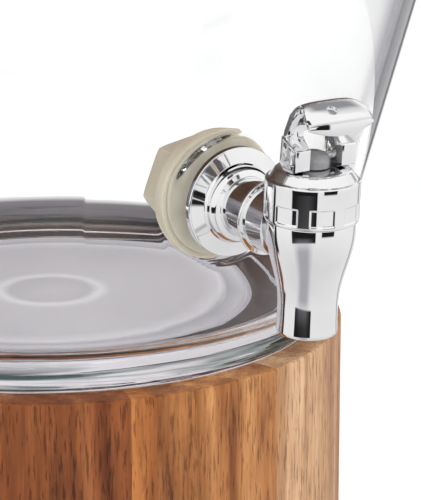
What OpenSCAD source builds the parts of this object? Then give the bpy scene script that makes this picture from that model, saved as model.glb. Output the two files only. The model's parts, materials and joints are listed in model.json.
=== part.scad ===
// Counter-top liquid dispenser: a flared glass jar with a lever tap,
// on a hollow ring of wooden staves and under a lift-off wooden lid.
// +Z is up, the origin is the centre of the ring's foot and the tap points along -Y.

/* [Stave ring] */
// Outer radius of the ring
base_r = 116; // [100:1:140]
// Height of the ring
base_h = 100; // [60:1:160]
// Thickness of the staves
stave_t = 20; // [14:1:26]
// Number of full staves beside the narrow one
stave_count = 13; // [8:1:16]
// Angle taken by the narrow stave
filler_deg = 4.8; // [3:0.1:12]
// Where the narrow stave starts, in degrees from the tap
filler_start = -16.2; // [-40:0.1:40]
// Eased edges of the wood
wood_ease = 1; // [0.4:0.1:2]
// Thickness of the rubber foot under the staves
foot_t = 2; // [1:0.5:4]

/* [Jar] */
// Height of the jar above the ring
jar_h = 170; // [130:1:220]
// How far inside the ring's edge the jar's wall would meet the ring
jar_inset = 8.3; // [6:0.1:12]
// Lean of the wall from upright
flare = 15.5; // [5:0.5:18]
// Thickness of the wall
glass_t = 4.5; // [3.5:0.1:6]
// Thickness of the floor above the ring
floor_t = 12; // [8:0.5:16]
// Rounding of the heel
heel_r = 8; // [5:0.5:12]
// Rounding where the floor meets the wall inside
floor_fillet = 14; // [8:0.5:20]
// How far the foot steps down inside the ring
foot_step = 4; // [2:0.5:8]
// Gap between the foot and the ring
foot_gap = 1; // [0.5:0.1:2]
// Width of the slope between the foot and the raised panel under the floor
punt_slope = 14; // [13:0.5:20]

/* [Tap seat] */
// Height of the tap above the ring
tap_h = 72.5; // [60:0.5:100]
// How far the tap leans down as it goes out
tap_tilt = 2.9; // [0:0.1:6]
// Flange face in front of the wall, on the tap's line
tap_standoff = 4; // [2:0.1:6]
// Radius of the flat sunk into the glass outside
seat_r = 21; // [20.5:0.1:24]
// Thickness of the glass at the flat
seat_t = 6; // [4.5:0.1:8]
// Thickness of each silicone washer
washer_t = 1.5; // [1:0.1:2.5]

/* [Shank and nut] */
// Radius of the flange
flange_r = 20; // [18:0.1:20.4]
// Thickness of the flange
flange_t = 4.5; // [3:0.1:6]
// Radius of the boss on the flange
boss_r = 14; // [12:0.1:16]
// Length of the boss
boss_len = 5.1; // [3:0.1:8]
// Radius of the plain neck
neck_r = 10.9; // [10:0.1:11.6]
// Where the neck meets the tap's branch, from the flange face
neck_end = 18.6; // [14:0.1:26]
// Crest radius of the thread
thread_r = 9.9; // [9:0.1:11]
// Pitch of the thread
thread_pitch = 2; // [1.5:0.1:3]
// Length of the threaded tail behind the flange
tail_len = 33; // [32:0.5:44]
// Radius of the waterway
bore_r = 5; // [4:0.1:6]
// Radius of the nut's collar
collar_r = 23.5; // [22:0.1:24.2]
// Thickness of the nut's collar
collar_t = 5; // [3:0.1:6]
// Corner radius of the nut's hexagon
nut_r = 18.8; // [17:0.1:21]
// Length of the whole nut
nut_len = 21.9; // [18:0.1:26]
// Turn of the nut's corners
nut_turn = -19.6; // [-30:0.1:30]

/* [Tap body] */
// Tap's upright axis, from the flange face
valve_reach = 43.1; // [40:0.1:52]
// Radius of the branch that takes the shank
branch_r = 11.9; // [11.6:0.1:12.4]
// Radius of the thin ring at the mouth of the branch
branch_ring_r = 13.6; // [12.6:0.1:15]
// Thickness of the thin ring
branch_ring_t = 1.2; // [0.8:0.1:2]
// Radius of the body's shoulder
shoulder_r = 15.3; // [15:0.1:17]
// Radius of the body's waist
waist_r = 10.4; // [10.2:0.1:11.6]
// Depth of the outlet below the branch's axis
outlet_drop = 34.5; // [30:0.1:44]
// Radius of the outlet's bore
outlet_bore = 8.2; // [7.5:0.1:8.6]
// Radius of the chamber
chamber_r = 11.3; // [10.8:0.1:11.6]
// Radius of the throat under the seat
throat_r = 6.5; // [5.5:0.1:7]

/* [Bonnet] */
// Radius of the bonnet
bonnet_r = 16.3; // [16:0.1:18]
// Lower edge of the bonnet above the branch's axis
bonnet_low = 6.3; // [6:0.1:8]
// Rim of the bonnet above the branch's axis
bonnet_rim = 20.5; // [20:0.1:23]
// Height of the dome above the rim
dome_h = 3.7; // [2:0.1:5]
// Radius of the flat on the dome
dome_flat_r = 12.8; // [11:0.1:13.5]
// Number of grip flats
flat_count = 8; // [6:1:12]
// Angle taken by one grip flat
flat_deg = 31; // [15:1:31]
// Depth of the grip flats
flat_depth = 0.5; // [0.3:0.1:0.7]

/* [Stem and cup] */
// Radius of the stem
stem_r = 3.5; // [3:0.1:4]
// Radius of the stem's head
head_r = 5.6; // [5:0.1:6]
// Height of the head
head_h = 5.6; // [5:0.1:7]
// Gap that lets the stem slide
stem_gap = 0.08; // [0.02:0.01:0.1]
// Wall of the rubber cup
cup_t = 1.5; // [1:0.1:2]

/* [Lever] */
// Width across the two cheeks
lever_w = 24.5; // [23:0.1:26]
// Thickness of each cheek
cheek_t = 5.6; // [4:0.1:5.6]
// Width of the paddle's front
paddle_w = 26.4; // [25:0.1:30]
// Width of the paddle's crest
crest_w = 20; // [18:0.1:22]
// Reach of the paddle in front of the stem
paddle_reach = 16.8; // [14:0.1:22]
// Height of the crest above the pin
crest_h = 21.5; // [19:0.1:24]
// Radius of the pin
pin_r = 1.5; // [1:0.05:1.6]
// Height of the pin above the cheeks' underside
pin_h = 3; // [2.6:0.1:3.5]
// Gap that lets the lever turn on the stem
pin_gap = 0.05; // [0.02:0.01:0.1]
// Lift of the stem for each radian that the lever turns
cam_k = 4; // [3:0.1:4.4]
// Largest turn of the lever in degrees
lever_turn = 40; // [20:1:45]

/* [Lid] */
// Thickness of the lid
lid_t = 14; // [8:1:20]
// How far the lid overhangs the glass
lid_over = 3; // [1:0.5:8]
// Depth of the plug inside the glass
plug_h = 9; // [7:0.5:14]
// Gap between the glass and the seal
seal_gap = 0.3; // [0.2:0.1:1]
// Radius of the knob
knob_r = 19; // [14:0.5:28]
// Height of the knob
knob_h = 26; // [20:0.5:40]

/* [Hidden] */
STAVES = [for (i = [1 : stave_count + 1]) str("stave_", i)];
$fn = 96;
eps = 0.01;

// Ring
ring_in = base_r - stave_t;
foot_inset = 3;
foot_in = ring_in + foot_inset;
foot_out = base_r - foot_inset;
stave_deg = (360 - filler_deg) / stave_count;

// Jar, with heights counted from the top of the ring
jar_r = base_r - jar_inset;
half_turn = (90 - flare) / 2;
function wall_r(z) = jar_r + tan(flare) * z;
function inner_r(z) = wall_r(z) - glass_t / cos(flare);
heel_centre = wall_r(0) - heel_r * tan(half_turn);
floor_centre = inner_r(floor_t) - floor_fillet * tan(half_turn);
foot_r = ring_in - foot_gap;
foot_land = 11;
punt_step = 12;
punt_r = foot_r - foot_land - punt_slope;
punt_h = foot_step / 2;
rim_z = jar_h - glass_t / 2;
rim_centre = wall_r(rim_z) - glass_t / 2 / cos(flare);

// Tap seat: s is counted outwards from the flange's front face
tap_y = wall_r(tap_h) + tap_standoff;
seat_out = -flange_t - washer_t;
seat_in = seat_out - seat_t;
seat_wall = 4.5;
seat_edge = 0.5;
nut_front = seat_in - washer_t;
nut_back = nut_front - nut_len;
hole_gap = 0.5;
thread_gap = 0.1;
thread_depth = 0.9;
tail_end = -flange_t - tail_len;
plate_ease = 0.9;
boss_ease_deg = 15;
washer_in = 2;
nut_ease = 0.6;
nut_flare = 2;
flare_slope = 4;
flare_start = nut_front - collar_t - 3;

// Tap body, with heights counted from the branch's axis
socket_r = neck_r - 1.6;
socket_len = 6.6;
socket_gap = 0.05;
spigot_r = shoulder_r - 1.9;
spigot_top = bonnet_low + 7.7;
blend_top = 3;
blend_low = -24;
seat_top = -4;
seat_low = -14;
throat_low = -16;
bonnet_gap = 0.3;
ledge_z = bonnet_low - bonnet_gap;
relief_z = bonnet_low - 0.1;
outlet_ease = 0.8;
outlet_lip = 4;
throat_step = 1.7;
socket_room = 0.2;

// Bonnet and cup
clamp_t = 1.5;
bonnet_wall = 1.5;
bonnet_ease = 0.6;
cavity_r = chamber_r - 1.3;
cavity_top = bonnet_rim - bonnet_wall;
dome_top = bonnet_rim + dome_h;
flat_low = bonnet_low + 1;
flat_h = 6.2;
flat_start = 6;
head_ease = 2.5;
cup_gap = 0.15;
cup_low = -13.2;
cup_edge = 0.8;
cup_wide = -9;
cup_skirt_r = 8;
cup_skirt_z = -7;
cup_bellow_r = 8.6;
cup_bellow_z = 4;
cup_rim = 0.4;
cup_floor = -5;
stem_low = -10;

// Lever, in the tap's own frame: n goes outwards from the stem, z goes up
rest_gap = 0.2;
cheek_low = dome_top + rest_gap;
pin_z = cheek_low + pin_h;
crest_z = pin_z + crest_h;
cheek_back = -3.2;
cheek_front = 6.9;
heel_n = -0.5;
lug_h = 8;
throat_h = 5.5;
arm_n = 2.6;
arm_low = 8.4;
arm_high = 13;
arm_tip = 8;
arm_t = 4.5;
arm_in = 1.4;
rim_start = 10;
rim_back = -2.4;
rim_bend = 0.4;
rim_drop = 6;
rim_top_n = 4;
back_n = -1.6;
back_drop = 7;
shoulder_drop = 3.4;
crest_n = 6.4;
crest_back_drop = 0.7;
crest_run = 3.2;
crest_fall = 0.8;
brow_n = 3;
brow_drop = 2.9;
paddle_t = 2.4;
lip_n = paddle_reach - 1;
lip_top = 5;
lip_low = 9.2;
lip_t = 1.8;
lip_ease = 0.4;
under_back = 3.2;
under_low = 1.4;
under_round = 0.9;
corner_r = 4;
plan_back = 1 - cheek_back;
plan_straight = 4;
pocket = 1.5;
pocket_back = -1.8;
pocket_heel = 0.6;
pocket_front = 5.2;
pocket_low = 1.8;
dimple_r = 1.9;
dimple_x = 2.2;
dimple_n = 11.7;
dimple_drop = 2.2;

// Lid
lid_z = base_h + jar_h;
lid_r = wall_r(jar_h) + lid_over;
lid_ease = 2;
seal_h = 4;
seal_low = -plug_h + 2;
seal_r = inner_r(jar_h + seal_low) - seal_gap;
seal_in = 2;
seal_lip = 1;
plug_r = seal_r - 4;
plug_ease = 0.5;
knob_foot = knob_r * 0.55;
knob_neck = knob_r / 2;
knob_bulge = knob_h * 0.38;
knob_neck_z = 3;
screw_r = 2.2;
screw_gap = 0.3;
screw_head_r = 4.6;
screw_head_t = 1.2;
screw_sunk = 3;
screw_top = lid_t + knob_h * 0.6;

function arc(cx, cy, r, a0, a1, n) =
    [for (i = [0 : n]) let (a = a0 + (a1 - a0) * i / n) [cx + r * cos(a), cy + r * sin(a)]];
function oval(cx, cy, rx, ry, a0, a1, n) =
    [for (i = [0 : n]) let (a = a0 + (a1 - a0) * i / n) [cx + rx * cos(a), cy + ry * sin(a)]];

// ---- places ----
module at_tap() translate([0, -tap_y, base_h + tap_h]) rotate([tap_tilt, 0, 0]) children();
module along_shank() at_tap() rotate([90, 0, 0]) children();
module at_valve() at_tap() translate([0, -valve_reach, 0]) children();
module side_on(w) rotate([90, 0, -90]) linear_extrude(height = w, center = true) children();

// ---- stave ring ----
module stave(start, turn) {
    rotate([0, 0, start - 90]) rotate_extrude(angle = turn, $fn = 180)
        polygon([
            [ring_in + wood_ease, foot_t], [base_r - wood_ease, foot_t], [base_r, foot_t + wood_ease],
            [base_r, base_h - wood_ease], [base_r - wood_ease, base_h],
            [ring_in + wood_ease, base_h], [ring_in, base_h - wood_ease], [ring_in, foot_t + wood_ease]
        ]);
}

module foot_ring() color("dimgray") rotate_extrude($fn = 180)
    polygon([[foot_in, 0], [foot_out, 0], [foot_out, foot_t], [foot_in, foot_t]]);

module filler_stave() color("peru") stave(filler_start, filler_deg);

module full_stave(i) {
    tone = ["sienna", "chocolate", "burlywood", "peru"][i % 4];
    color(tone) stave(filler_start + filler_deg + stave_deg * (i - 1), stave_deg);
}

// ---- jar ----
outer_side = concat(
    arc(heel_centre, heel_r, heel_r, -90, -flare, 8),
    arc(rim_centre, rim_z, glass_t / 2, -flare, 90 - flare, 4));
inner_side = concat(
    arc(rim_centre, rim_z, glass_t / 2, 90 - flare, 180 - flare, 4),
    arc(floor_centre, floor_t + floor_fillet, floor_fillet, -flare, -90, 8),
    [[0, floor_t]]);
foot_side = [
    [0, punt_h], [punt_r, punt_h], [punt_r + punt_step / 3, 0],
    [punt_r + punt_step, -punt_h], [foot_r - foot_land, -foot_step],
    [foot_r, -foot_step], [foot_r, 0]
];

module shell() rotate_extrude($fn = 180) polygon(concat(foot_side, outer_side, inner_side));

module filled_jar() rotate_extrude($fn = 180)
    polygon(concat([[0, 0]], outer_side, [[0, jar_h]]));

module seat_drum(r, from, to) along_shank() translate([0, 0, from]) cylinder(r = r, h = to - from);

module glass_jar() color("lightcyan") difference() {
    union() {
        translate([0, 0, base_h]) shell();
        seat_drum(seat_r + seat_wall, seat_in, seat_out);
        intersection() {
            translate([0, 0, base_h]) filled_jar();
            seat_drum(seat_r + seat_wall, seat_in, flange_r);
        }
    }
    seat_drum(seat_r, seat_out, flange_r * 2);
    seat_drum(seat_r + seat_wall - seat_edge, seat_in - flange_r, seat_in);
    seat_drum(thread_r + hole_gap, seat_in - 1, seat_out + 1);
}

// ---- shank, washers and nut ----
module washer(r, from) color("gainsboro") along_shank() difference() {
    translate([0, 0, from]) cylinder(r = r, h = washer_t);
    translate([0, 0, from - 1]) cylinder(r = thread_r + thread_gap, h = washer_t + 2);
}

module outer_washer() washer(flange_r - washer_in, seat_out);

module inner_washer() washer(collar_r - washer_in, nut_front);

thread_turns = floor((tail_len - thread_pitch) / thread_pitch);
thread_side = [for (i = [0 : thread_turns - 1], j = [0 : 1])
    [thread_r - (1 - j) * thread_depth, tail_end + thread_pitch * (i + 1 / 2 + j / 2)]];

module shank() color("silver") along_shank() rotate_extrude()
    polygon(concat(
        [[bore_r, tail_end], [thread_r - thread_depth, tail_end]],
        thread_side,
        [[thread_r - thread_depth, -flange_t], [flange_r - plate_ease, -flange_t],
            [flange_r, plate_ease - flange_t], [flange_r, -plate_ease], [flange_r - plate_ease, 0],
            [boss_r, 0]],
        oval(neck_r, 0, boss_r - neck_r, boss_len, boss_ease_deg, 90, 6),
        [[neck_r, neck_end], [socket_r, neck_end], [socket_r, neck_end + socket_len],
            [bore_r, neck_end + socket_len]]));

module nut_outline() {
    flare_end = nut_front - collar_t;
    union() {
        translate([0, 0, nut_back]) rotate([0, 0, 90 + nut_turn]) cylinder(r = nut_r, h = nut_len, $fn = 6);
        rotate_extrude() polygon([
            [0, nut_front], [collar_r - nut_ease, nut_front], [collar_r, nut_front - nut_ease],
            [collar_r, flare_end + nut_ease], [collar_r - nut_ease, flare_end], [nut_r, flare_start],
            [nut_r - nut_flare, flare_start - flare_slope], [0, flare_start - flare_slope]
        ]);
    }
}

module hex_nut() color("beige") along_shank() difference() {
    nut_outline();
    translate([0, 0, nut_back - 1]) cylinder(r = thread_r + thread_gap, h = nut_len + 2);
}

// ---- tap body ----
blend_run = blend_top - blend_low;
function blend_r(z) = waist_r + (shoulder_r - waist_r) * (1 + cos(180 * (blend_top - z) / blend_run)) / 2;

module body_outline() rotate_extrude() polygon(concat(
    [[0, spigot_top], [spigot_r, spigot_top], [spigot_r, ledge_z], [shoulder_r, ledge_z]],
    [for (i = [0 : 12]) let (z = blend_top - blend_run * i / 12) [blend_r(z), z]],
    [[waist_r, outlet_lip - outlet_drop], [waist_r + outlet_ease / 4, outlet_ease - outlet_drop],
        [waist_r - outlet_ease / 2, -outlet_drop], [0, -outlet_drop]]));

module branch() at_tap() rotate([90, 0, 0]) {
    translate([0, 0, neck_end]) cylinder(r = branch_r, h = valve_reach - neck_end - chamber_r);
    translate([0, 0, neck_end]) cylinder(r = branch_ring_r, h = branch_ring_t);
}

module tap_body() color("silver") difference() {
    union() {
        difference() {
            branch();
            at_valve() translate([0, 0, relief_z]) cylinder(r = bonnet_r + bonnet_gap, h = bonnet_rim);
        }
        at_valve() body_outline();
    }
    at_valve() rotate_extrude() polygon([
        [0, spigot_top + 1], [chamber_r, spigot_top + 1], [chamber_r, seat_top], [throat_r, seat_low],
        [throat_r, throat_low], [outlet_bore, throat_low - throat_step], [outlet_bore, -outlet_drop - 1],
        [0, -outlet_drop - 1]
    ]);
    along_shank() translate([0, 0, neck_end - 1])
        cylinder(r = socket_r + socket_gap, h = socket_len + 1 + socket_room);
    along_shank() translate([0, 0, neck_end]) cylinder(r = bore_r, h = valve_reach - neck_end);
}

// ---- bonnet ----
module grip_flats() for (i = [0 : flat_count - 1])
    rotate([0, 0, flat_start + i * 360 / flat_count]) rotate_extrude(angle = flat_deg)
        translate([bonnet_r - flat_depth, flat_low]) square([flat_depth + 1, flat_h]);

module bonnet() color("silver") at_valve() difference() {
    rotate_extrude() polygon([
        [0, bonnet_low], [bonnet_r - bonnet_ease, bonnet_low], [bonnet_r, bonnet_low + bonnet_ease],
        [bonnet_r, bonnet_rim - bonnet_ease], [bonnet_r - bonnet_ease, bonnet_rim], [dome_flat_r, dome_top],
        [0, dome_top]
    ]);
    rotate_extrude() polygon([
        [0, bonnet_low - 1], [spigot_r + thread_gap, bonnet_low - 1],
        [spigot_r + thread_gap, spigot_top + clamp_t], [cavity_r, spigot_top + clamp_t],
        [cavity_r, cavity_top], [0, cavity_top]
    ]);
    cylinder(r = stem_r + stem_gap, h = dome_top * 2);
    grip_flats();
}

// ---- stem, pin and cup ----
module stem() color("dimgray") at_valve() difference() {
    union() {
        translate([0, 0, stem_low]) cylinder(r = stem_r, h = dome_top - stem_low + 1);
        rotate_extrude() polygon(concat(
            [[0, cheek_low], [head_r, cheek_low], [head_r, cheek_low + head_h - head_ease]],
            oval(0, cheek_low + head_h - head_ease, head_r, head_ease, 0, 90, 8)));
    }
    translate([0, 0, pin_z]) rotate([0, 90, 0])
        cylinder(r = pin_r + pin_gap, h = head_r * 4, center = true);
}

module lever_pin() color("silver") at_valve() translate([0, 0, pin_z]) rotate([0, 90, 0])
    cylinder(r = pin_r, h = lever_w - 2 * pocket, center = true);

seat_slope = (chamber_r - throat_r) / (seat_top - seat_low);
function seat_at(z) = throat_r + (z - seat_low) * seat_slope - cup_gap;

module seat_cup() color("whitesmoke") at_valve() rotate_extrude() polygon([
    [0, cup_low], [seat_at(cup_low) - cup_edge, cup_low], [seat_at(cup_low + cup_edge), cup_low + cup_edge],
    [seat_at(cup_wide), cup_wide], [cup_skirt_r, cup_skirt_z], [cup_bellow_r, cup_bellow_z],
    [chamber_r - cup_rim, spigot_top - cup_t], [chamber_r - cup_rim, spigot_top], [spigot_r, spigot_top],
    [spigot_r, spigot_top + clamp_t], [cavity_r, spigot_top + clamp_t],
    [cavity_r - cup_t, spigot_top - cup_rim], [cup_bellow_r - cup_t, cup_bellow_z],
    [cup_skirt_r - cup_t, cup_floor], [stem_r, cup_floor], [stem_r, stem_low], [0, stem_low]
]);

// ---- lever ----
// The cheeks' front corner is an involute, so that they never dig into the bonnet as the stem lifts.
function cam_point(a) = let (h = pin_h + cam_k * a * PI / 180)
    [h * sin(a) + cam_k * cos(a), pin_z - h * cos(a) + cam_k * sin(a)];
cam_side = [for (i = [0 : 8]) cam_point(lever_turn * i / 8)];

module cheek_outline() polygon(concat(
    [[rim_back, pin_z + rim_start], [cheek_back, pin_z + lug_h], [cheek_back, pin_z - pin_r / 2],
        [heel_n, cheek_low]],
    cam_side,
    [[cheek_front, pin_z + throat_h], [arm_n, pin_z + arm_low], [arm_n, pin_z + arm_high],
        [arm_tip, crest_z - arm_t], [cheek_front, crest_z - arm_in], [rim_top_n, crest_z - arm_in],
        [rim_bend, crest_z - rim_drop]]));

// The plate's top line from the back, over the crest to the lip, and its underside the other way
top_line = [
    [rim_back - rest_gap, pin_z + rim_start - 1], [back_n, crest_z - back_drop],
    [rim_bend + lip_ease, crest_z - shoulder_drop], [rim_top_n, crest_z - crest_back_drop],
    [crest_n, crest_z], [crest_n + crest_run, crest_z - crest_fall],
    [lip_n - brow_n, crest_z - brow_drop], [lip_n + lip_ease, crest_z - lip_top],
    [paddle_reach, crest_z - lip_top - 1], [paddle_reach - lip_ease, crest_z - lip_low]
];
under_line = [
    [lip_n - lip_t + 1, crest_z - lip_low], [lip_n - lip_t + 1, crest_z - lip_top - 2],
    [lip_n - brow_n - 1, crest_z - brow_drop - paddle_t],
    [crest_n + crest_run - 1, crest_z - crest_fall - paddle_t],
    [crest_n - rest_gap, crest_z - paddle_t], [rim_top_n, crest_z - paddle_t - under_round],
    [back_n + under_back, crest_z - rim_drop - lip_ease],
    [back_n + under_low, pin_z + rim_start - 1]
];

module paddle_outline() polygon(concat(top_line, under_line));

module paddle_plan() polygon(concat(
    [[-crest_w / 2, plan_back], [-crest_w / 2, -plan_straight],
        [-paddle_w / 2, corner_r + 1 - paddle_reach]],
    arc(corner_r - paddle_w / 2, corner_r - paddle_reach, corner_r, 180, 270, 6),
    arc(paddle_w / 2 - corner_r, corner_r - paddle_reach, corner_r, 270, 360, 6),
    [[paddle_w / 2, corner_r + 1 - paddle_reach], [crest_w / 2, -plan_straight],
        [crest_w / 2, plan_back]]));

module cheek(side) translate([side * (lever_w - cheek_t) / 2, 0, 0]) side_on(cheek_t) cheek_outline();

module cheek_pocket(side) translate([side * (lever_w / 2 - pocket / 2), 0, 0]) side_on(pocket + eps)
    polygon([
        [pocket_back, pin_z + throat_h + pocket], [pocket_back, pin_z],
        [pocket_heel, pin_z - pocket_low], [pocket_front, pin_z - pocket_low],
        [pocket_front, pin_z + throat_h - pocket]
    ]);

module lever() color("silver") at_valve() difference() {
    union() {
        intersection() {
            union() for (side = [-1, 1]) cheek(side);
            translate([-lever_w / 2, -paddle_reach, 0])
                cube([lever_w, paddle_reach * 2, crest_z - paddle_t / 2]);
        }
        intersection() {
            side_on(paddle_w + 1) paddle_outline();
            linear_extrude(height = crest_z + 1) paddle_plan();
        }
    }
    for (side = [-1, 1]) cheek_pocket(side);
    translate([0, 0, pin_z]) rotate([0, 90, 0]) cylinder(r = pin_r, h = lever_w * 2, center = true);
    translate([-dimple_x, -dimple_n, crest_z - dimple_drop]) cylinder(r = dimple_r, h = dimple_drop + 1);
}

// ---- lid ----
module lid_board() color("peru") translate([0, 0, lid_z]) difference() {
    rotate_extrude($fn = 180) polygon([
        [0, lid_t], [lid_r - lid_ease, lid_t], [lid_r, lid_t - lid_ease], [lid_r, lid_ease / 2],
        [lid_r - lid_ease / 2, 0], [plug_r, 0], [plug_r, seal_low + seal_h],
        [plug_r - seal_in, seal_low + seal_h], [plug_r - seal_in, seal_low], [plug_r, seal_low],
        [plug_r, plug_ease - plug_h], [plug_r - plug_ease, -plug_h], [0, -plug_h]
    ]);
    translate([0, 0, -plug_h - 1]) cylinder(r = screw_r + screw_gap, h = lid_t + plug_h + 2);
    translate([0, 0, -plug_h - 1]) cylinder(r = screw_head_r + 2 * screw_gap, h = screw_sunk + 1);
}

module lid_seal() color("whitesmoke") translate([0, 0, lid_z + seal_low]) rotate_extrude($fn = 180)
    polygon([[plug_r - seal_in, 0], [plug_r, 0], [seal_r, seal_lip], [seal_r, 2 * seal_lip],
        [plug_r + seal_lip, 3 * seal_lip], [plug_r, seal_h], [plug_r - seal_in, seal_h]]);

module lid_knob() color("sienna") translate([0, 0, lid_z + lid_t]) difference() {
    rotate_extrude() polygon(concat(
        [[0, 0], [knob_foot, 0], [knob_neck, knob_neck_z], [knob_neck, knob_bulge]],
        oval(0, knob_h - knob_bulge, knob_r, knob_bulge, -35, 90, 12)));
    translate([0, 0, -1]) cylinder(r = screw_r, h = screw_top - lid_t + 1);
}

module knob_screw() color("gray") translate([0, 0, lid_z]) rotate_extrude() polygon([
    [0, screw_gap - plug_h], [screw_head_r, screw_gap - plug_h],
    [screw_head_r, screw_gap - plug_h + screw_head_t], [screw_r, screw_sunk - plug_h],
    [screw_r, screw_top - 2 * screw_head_t], [0, screw_top - screw_gap]
]);

for (i = [1 : stave_count]) full_stave(i);
filler_stave();
glass_jar();
outer_washer();
inner_washer();
hex_nut();
shank();
tap_body();
bonnet();
stem();
seat_cup();
lever();
lever_pin();
lid_board();
lid_seal();
lid_knob();
knob_screw();
foot_ring();
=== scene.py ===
"""Looks for a glass dispenser with a plated lever tap on a ring of wooden staves.

Lengths in the tables below are millimetres, as in the part's own source, and MM turns them into metres.
Places of the lights, and lengths inside a material, are metres.
"""

import json
import math

import bmesh
import bpy
from mathutils import Matrix, Vector


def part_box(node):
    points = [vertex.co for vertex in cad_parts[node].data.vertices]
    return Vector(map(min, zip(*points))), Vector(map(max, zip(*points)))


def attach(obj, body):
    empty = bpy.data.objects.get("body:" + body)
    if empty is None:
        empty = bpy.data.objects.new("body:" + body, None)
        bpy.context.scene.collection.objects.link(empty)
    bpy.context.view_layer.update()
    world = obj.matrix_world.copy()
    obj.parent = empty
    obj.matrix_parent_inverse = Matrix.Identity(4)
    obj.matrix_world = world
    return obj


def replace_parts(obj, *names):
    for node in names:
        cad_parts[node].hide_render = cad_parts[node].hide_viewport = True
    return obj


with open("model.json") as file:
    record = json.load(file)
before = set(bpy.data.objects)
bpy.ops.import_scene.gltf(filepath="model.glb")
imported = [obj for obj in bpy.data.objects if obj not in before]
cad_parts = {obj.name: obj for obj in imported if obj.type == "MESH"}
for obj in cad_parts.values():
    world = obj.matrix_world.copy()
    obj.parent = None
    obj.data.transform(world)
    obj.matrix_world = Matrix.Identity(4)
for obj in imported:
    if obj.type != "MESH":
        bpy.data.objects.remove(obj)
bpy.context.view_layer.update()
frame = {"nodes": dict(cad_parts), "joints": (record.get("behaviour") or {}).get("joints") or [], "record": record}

MM = 0.001
TURN = 2 * math.pi
TINY = 1e-6

# ---------------------------------------------------------------- frame values
joints = {j["name"]: j for j in frame["joints"]}
ring_low, ring_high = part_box("stave_1")
RING_TOP = ring_high.z

# The tap's own directions: ACROSS it, OUT away from the jar, UP along the valve.
ACROSS = Vector((1, 0, 0))
UP = Vector(joints["stem_lift"]["axis"]).normalized()
OUT = ACROSS.cross(UP)
PIN = Vector(joints["lever_turn"]["pos_m"])
PIN_Z = 27.4
VALVE_REACH = 43.1
VALVE = PIN - UP * PIN_Z * MM
FLANGE = VALVE - OUT * VALVE_REACH * MM


def axes(origin, across, ahead, up):
    """A matrix that takes millimetres along three directions to the frame's metres."""
    m = Matrix((across, ahead, up)).transposed().to_4x4() @ Matrix.Scale(MM, 4)
    return Matrix.Translation(origin) @ m


def level(height):
    """The place of an upright piece on the jar's axis, at a height in metres."""
    return axes(Vector((0, 0, height)), Vector((1, 0, 0)), Vector((0, 1, 0)), Vector((0, 0, 1)))


UPRIGHT = level(0)
ON_RING = level(RING_TOP)
AT_VALVE = axes(VALVE, ACROSS, -OUT, UP)
ALONG_BRANCH = axes(VALVE, ACROSS, UP, OUT)
ALONG_SHANK = axes(FLANGE, ACROSS, UP, OUT)
ALONG_PIN = axes(PIN, UP, OUT, ACROSS)

# ---------------------------------------------------------------- camera, lights, floor
# The camera stands CAMERA_BACK from the jar's axis. Its turns are in radians.
VIEW_TURN = 0.530
CAMERA_BACK = 1000
CAMERA_ABOVE_RING = 301.26
CAMERA_YAW = 0.064
CAMERA_PITCH = 0.270
LENS = 187.8408
SENSOR = 36
HEADING = VIEW_TURN + CAMERA_YAW
FORWARD = Vector((math.sin(HEADING) * math.cos(CAMERA_PITCH), math.cos(HEADING) * math.cos(CAMERA_PITCH),
                  -math.sin(CAMERA_PITCH)))


def link(thing):
    bpy.context.scene.collection.objects.link(thing)
    return thing


def make_camera():
    data = bpy.data.cameras.new("camera")
    data.sensor_width = SENSOR
    data.sensor_fit = "AUTO"
    data.lens = LENS
    data.clip_start = 0.01
    camera = link(bpy.data.objects.new("camera", data))
    right = FORWARD.cross(Vector((0, 0, 1))).normalized()
    turn = Matrix((right, right.cross(FORWARD), -FORWARD)).transposed().to_4x4()
    place = Vector((-math.sin(VIEW_TURN), -math.cos(VIEW_TURN), 0)) * CAMERA_BACK * MM
    place.z = RING_TOP + CAMERA_ABOVE_RING * MM
    camera.matrix_world = Matrix.Translation(place) @ turn
    bpy.context.scene.camera = camera


def make_light(name, place, aim, size, watts):
    """A soft box that the plated parts don't mirror."""
    data = bpy.data.lights.new(name, "AREA")
    data.shape = "RECTANGLE"
    data.size, data.size_y = size
    data.energy = watts
    light = link(bpy.data.objects.new(name, data))
    light.location = place
    light.rotation_euler = (Vector(aim) - Vector(place)).to_track_quat("-Z", "Y").to_euler()
    light.visible_glossy = False


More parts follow.
